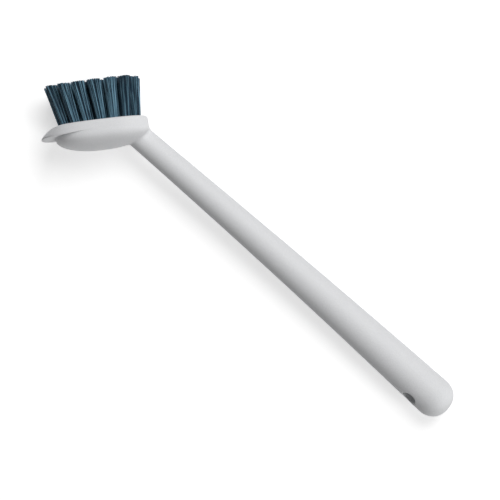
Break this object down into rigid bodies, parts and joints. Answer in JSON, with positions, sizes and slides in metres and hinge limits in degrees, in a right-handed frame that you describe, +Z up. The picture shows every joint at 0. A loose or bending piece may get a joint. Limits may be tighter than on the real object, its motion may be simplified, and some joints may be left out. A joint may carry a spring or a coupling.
{
  "type": "kitchen brush",
  "caption": "Dish brush with a one-piece tapered handle, domed head and scraper brim, and anchored bristle tufts; lies on its side.",
  "frame": {"origin": "on the surface the brush lies on, under the middle of its bounding box; the brush lies on its side", "axes": "+X along the handle from the head to the handle's end, +Y across it on the side that the bristles lean to, +Z up from the surface"},
  "size_m": [0.2792, 0.062, 0.0392],
  "materials": {
    "grey_plastic": "fine matte, light grey",
    "blue_bristle": "satin monofilament, dark grey-blue",
    "anchor_steel": "plain bright strip"
  },
  "bodies": {
    "root": {"brush_body": "grey_plastic", "tuft_outer_01": "blue_bristle", "tuft_outer_02": "blue_bristle", "tuft_outer_03": "blue_bristle", "tuft_outer_04": "blue_bristle", "tuft_outer_05": "blue_bristle", "tuft_outer_06": "blue_bristle", "tuft_outer_07": "blue_bristle", "tuft_outer_08": "blue_bristle", "tuft_outer_09": "blue_bristle", "tuft_outer_10": "blue_bristle", "tuft_outer_11": "blue_bristle", "tuft_outer_12": "blue_bristle", "tuft_outer_13": "blue_bristle", "tuft_outer_14": "blue_bristle", "tuft_outer_15": "blue_bristle", "tuft_outer_16": "blue_bristle", "tuft_inner_01": "blue_bristle", "tuft_inner_02": "blue_bristle", "tuft_inner_03": "blue_bristle", "tuft_inner_04": "blue_bristle", "tuft_inner_05": "blue_bristle", "tuft_inner_06": "blue_bristle", "tuft_inner_07": "blue_bristle", "tuft_inner_08": "blue_bristle", "tuft_inner_09": "blue_bristle", "tuft_inner_10": "blue_bristle", "tuft_middle_1": "blue_bristle", "tuft_middle_2": "blue_bristle", "tuft_middle_3": "blue_bristle", "anchor_outer_01": "anchor_steel", "anchor_outer_02": "anchor_steel", "anchor_outer_03": "anchor_steel", "anchor_outer_04": "anchor_steel", "anchor_outer_05": "anchor_steel", "anchor_outer_06": "anchor_steel", "anchor_outer_07": "anchor_steel", "anchor_outer_08": "anchor_steel", "anchor_outer_09": "anchor_steel", "anchor_outer_10": "anchor_steel", "anchor_outer_11": "anchor_steel", "anchor_outer_12": "anchor_steel", "anchor_outer_13": "anchor_steel", "anchor_outer_14": "anchor_steel", "anchor_outer_15": "anchor_steel", "anchor_outer_16": "anchor_steel", "anchor_inner_01": "anchor_steel", "anchor_inner_02": "anchor_steel", "anchor_inner_03": "anchor_steel", "anchor_inner_04": "anchor_steel", "anchor_inner_05": "anchor_steel", "anchor_inner_06": "anchor_steel", "anchor_inner_07": "anchor_steel", "anchor_inner_08": "anchor_steel", "anchor_inner_09": "anchor_steel", "anchor_inner_10": "anchor_steel", "anchor_middle_1": "anchor_steel", "anchor_middle_2": "anchor_steel", "anchor_middle_3": "anchor_steel"}
  },
  "joints": []
}
